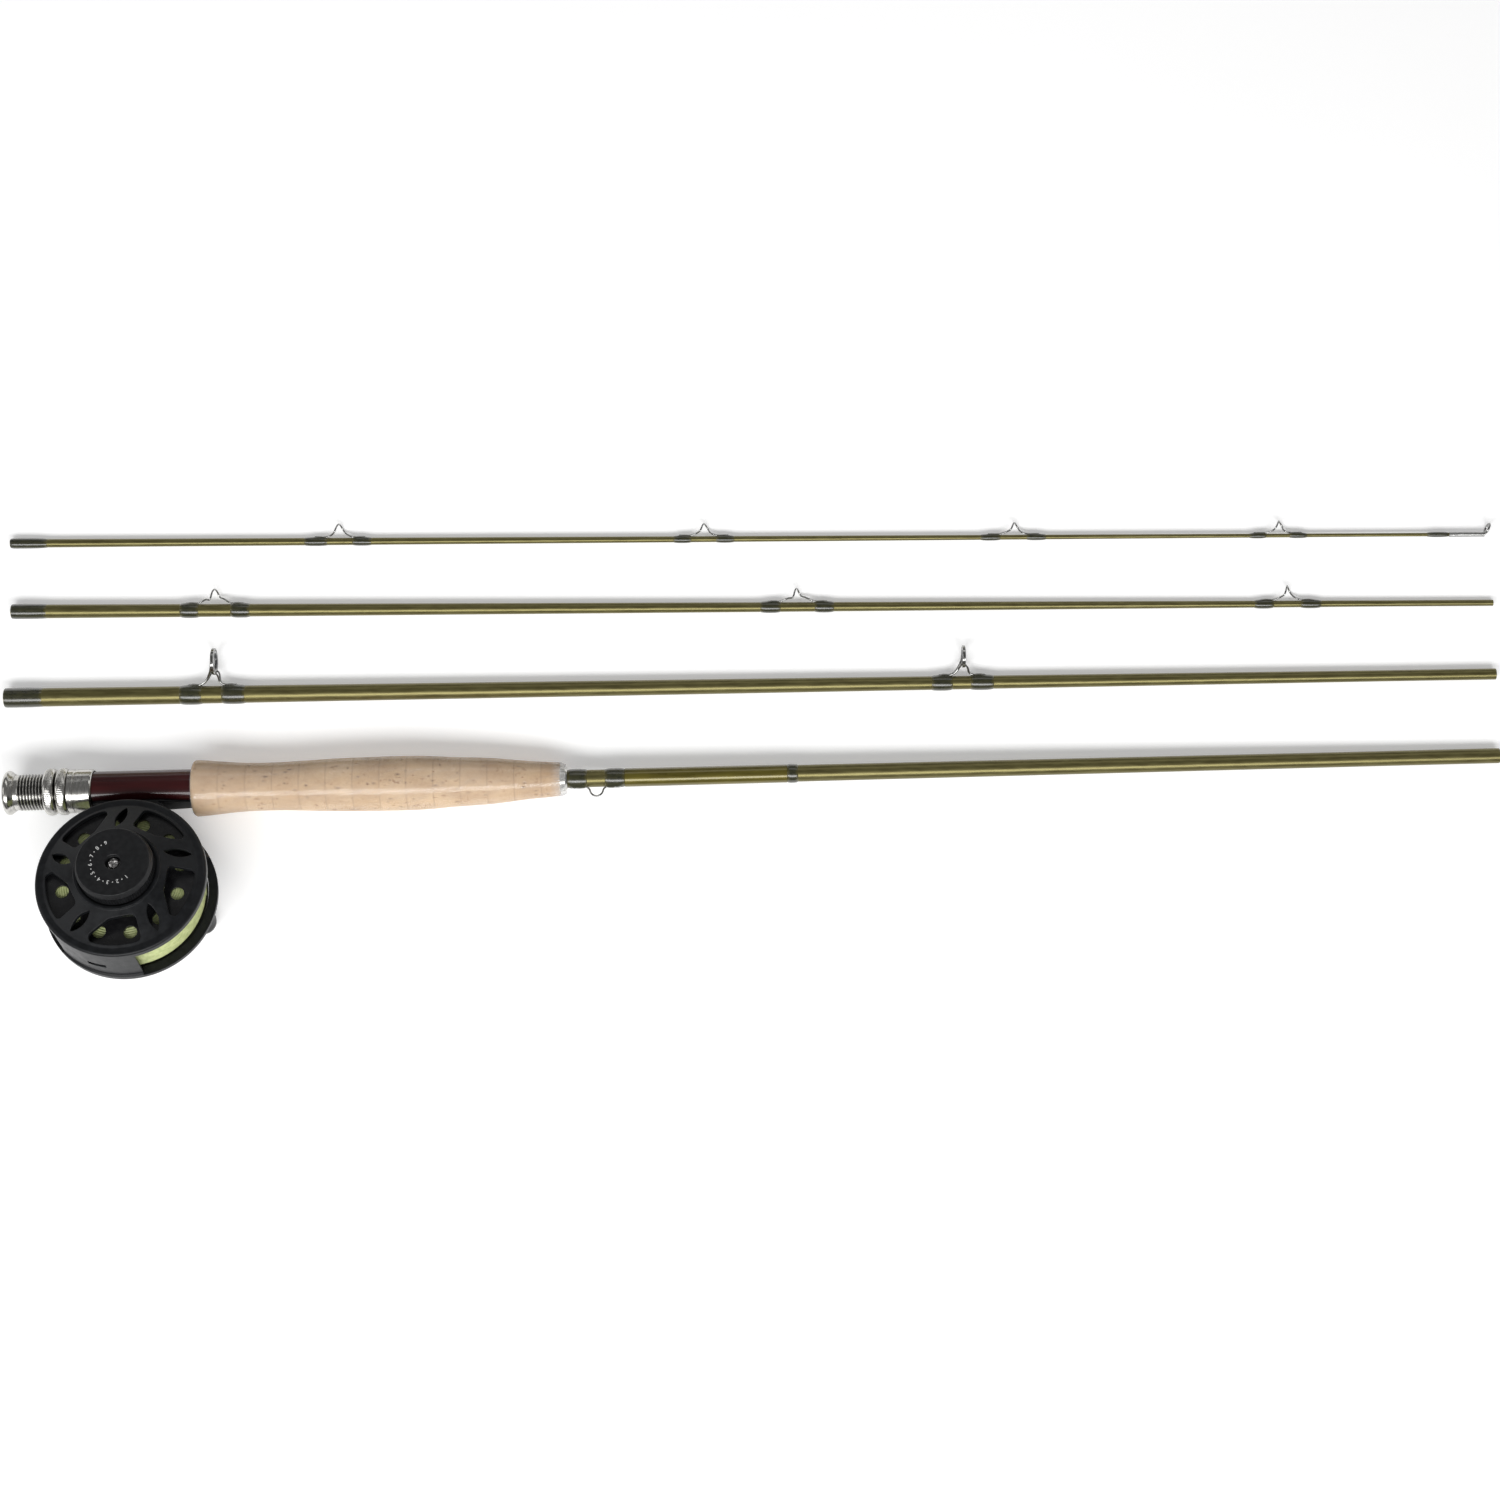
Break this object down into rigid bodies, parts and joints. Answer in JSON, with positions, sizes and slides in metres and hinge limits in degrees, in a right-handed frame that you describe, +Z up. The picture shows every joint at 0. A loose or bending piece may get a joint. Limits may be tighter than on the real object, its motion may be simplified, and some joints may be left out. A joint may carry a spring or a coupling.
{
  "type": "fly fishing rod and reel",
  "caption": "Fly rod taken apart into its sections and laid side by side, with a loaded disc-drag fly reel fitted to the seat of the butt section.",
  "frame": {"origin": "on the table, below the middle of the whole lay-out's box", "axes": "+X along the rod sections towards their thin ends, +Y across them from the reel towards the tip section, +Z up from the table"},
  "size_m": [0.7238, 0.219, 0.0733],
  "materials": {
    "blank_olive": "satin olive-bronze lacquered carbon tube",
    "thread_wrap": "dark green thread under clear varnish",
    "label_varnish": "clear gloss varnish over the olive blank",
    "seat_metal": "bright polished",
    "guide_chrome": "bright wire",
    "guide_ring": "hard polished ring",
    "seat_insert": "deep burgundy gloss",
    "cork": "natural cork rings",
    "film": "clear shrink film",
    "check_metal": "dark anodised",
    "reel_black": "satin black powder coat",
    "spool_black": "black, slightly glossier than the frame",
    "knob_black": "satin black",
    "handle_black": "black",
    "fly_line": "pale yellow-green coated line",
    "steel": "bright turned",
    "brass": "plain",
    "friction": "brake disc lining"
  },
  "bodies": {
    "butt_section": {"butt_blank": "blank_olive", "butt_cap": "seat_metal", "butt_wraps": "thread_wrap", "cork_grip": "cork", "drag_springs": "steel", "fixed_hood": "seat_metal", "foot_screws": "steel", "friction_disc": "friction", "grip_film": "film", "hook_keeper": "guide_chrome", "knob_screw": "steel", "label_coat": "label_varnish", "pawl_pin": "steel", "pawl_spring": "steel", "pressure_plate": "steel", "push_pins": "steel", "reel_foot": "reel_black", "reel_frame": "reel_black", "seat_barrel": "seat_metal", "seat_insert": "seat_insert", "spindle": "steel", "thrust_washer": "steel", "winding_check": "check_metal"},
    "hood": {"sliding_hood": "seat_metal"},
    "front_lock_nut": {"front_lock_nut": "seat_metal"},
    "rear_lock_nut": {"rear_lock_nut": "seat_metal"},
    "drag_rotor": {"brake_rotor": "brass"},
    "spool": {"spool": "spool_black", "fly_line": "fly_line", "one_way_clutch": "steel", "spool_bushing": "brass", "counterweight": "spool_black", "latch_cover": "spool_black", "latch_spring": "steel", "handle_pin": "steel"},
    "spool_latch": {"spool_latch": "steel"},
    "handle": {"handle_knob": "handle_black"},
    "drag_knob": {"drag_knob": "knob_black"},
    "drag_nut": {"drag_nut": "steel"},
    "click_pawl": {"click_pawl": "steel"},
    "lower_section": {"large_guide_ring": "guide_ring", "large_stripping_guide": "guide_chrome", "lower_blank": "blank_olive", "lower_wraps": "thread_wrap", "small_guide_ring": "guide_ring", "small_stripping_guide": "guide_chrome"},
    "upper_section": {"upper_blank": "blank_olive", "upper_snake_guide_a": "guide_chrome", "upper_snake_guide_b": "guide_chrome", "upper_snake_guide_c": "guide_chrome", "upper_wraps": "thread_wrap"},
    "tip_section": {"tip_blank": "blank_olive", "tip_snake_guide_a": "guide_chrome", "tip_snake_guide_b": "guide_chrome", "tip_snake_guide_c": "guide_chrome", "tip_snake_guide_d": "guide_chrome", "tip_top": "guide_chrome", "tip_wraps": "thread_wrap"}
  },
  "joints": [
    {"name": "hood_slide", "type": "slide", "parent": "butt_section", "child": "hood", "axis": [-0.9995, -0.025, 0.018], "range_m": [0, 0.01201]},
    {"name": "front_nut_turn", "type": "hinge", "parent": "hood", "child": "front_lock_nut", "pos_m": [-0.33011, -0.02181, 0.01639], "axis": [-0.9995, -0.025, 0.018], "range_deg": [0, 2880]},
    {"name": "rear_nut_turn", "type": "hinge", "parent": "hood", "child": "rear_lock_nut", "pos_m": [-0.33611, -0.02196, 0.0165], "axis": [-0.9995, -0.025, 0.018], "range_deg": [0, 2881]},
    {"name": "spool_spin", "type": "hinge", "parent": "butt_section", "child": "drag_rotor", "pos_m": [-0.29529, -0.06686, 0.03778], "axis": [0.0055, 0.4324, 0.9017], "continuous": true},
    {"name": "spool_release", "type": "slide", "parent": "drag_rotor", "child": "spool", "axis": [-0.0055, -0.4324, -0.9017], "range_m": [0, 0.03]},
    {"name": "latch_slide", "type": "slide", "parent": "spool", "child": "spool_latch", "axis": [-0.9995, -0.025, 0.018], "range_m": [0, 0.0015], "stiffness_N_per_m": 300},
    {"name": "handle_spin", "type": "hinge", "parent": "spool", "child": "handle", "pos_m": [-0.26568, -0.07514, 0.02583], "axis": [0.0055, 0.4324, 0.9017], "continuous": true},
    {"name": "knob_turn", "type": "hinge", "parent": "butt_section", "child": "drag_knob", "pos_m": [-0.29512, -0.05328, 0.0661], "axis": [-0.0055, -0.4324, -0.9017], "range_deg": [0, 300]},
    {"name": "drag_nut_travel", "type": "slide", "parent": "drag_knob", "child": "drag_nut", "axis": [-0.0055, -0.4324, -0.9017], "range_m": [0, 0.00085]},
    {"name": "pawl_swing", "type": "hinge", "parent": "butt_section", "child": "click_pawl", "pos_m": [-0.29852, -0.04303, 0.04046], "axis": [0.0055, 0.4324, 0.9017], "range_deg": [-8, 8], "stiffness_Nm_per_rad": 0.02},
    {"name": "lower_lift", "type": "slide", "parent": "butt_section", "child": "lower_section", "axis": [0, 0, 1], "range_m": [0, 0.1]},
    {"name": "upper_lift", "type": "slide", "parent": "butt_section", "child": "upper_section", "axis": [0, 0, 1], "range_m": [0, 0.1]},
    {"name": "tip_lift", "type": "slide", "parent": "butt_section", "child": "tip_section", "axis": [0, 0, 1], "range_m": [0, 0.1]}
  ],
  "couplings": [
    {"joint": "hood_slide", "follows": "front_nut_turn", "m_per_rad": 0.00023873},
    {"joint": "rear_nut_turn", "follows": "front_nut_turn", "ratio": 1},
    {"joint": "drag_nut_travel", "follows": "knob_turn", "m_per_rad": 0.00015915}
  ]
}
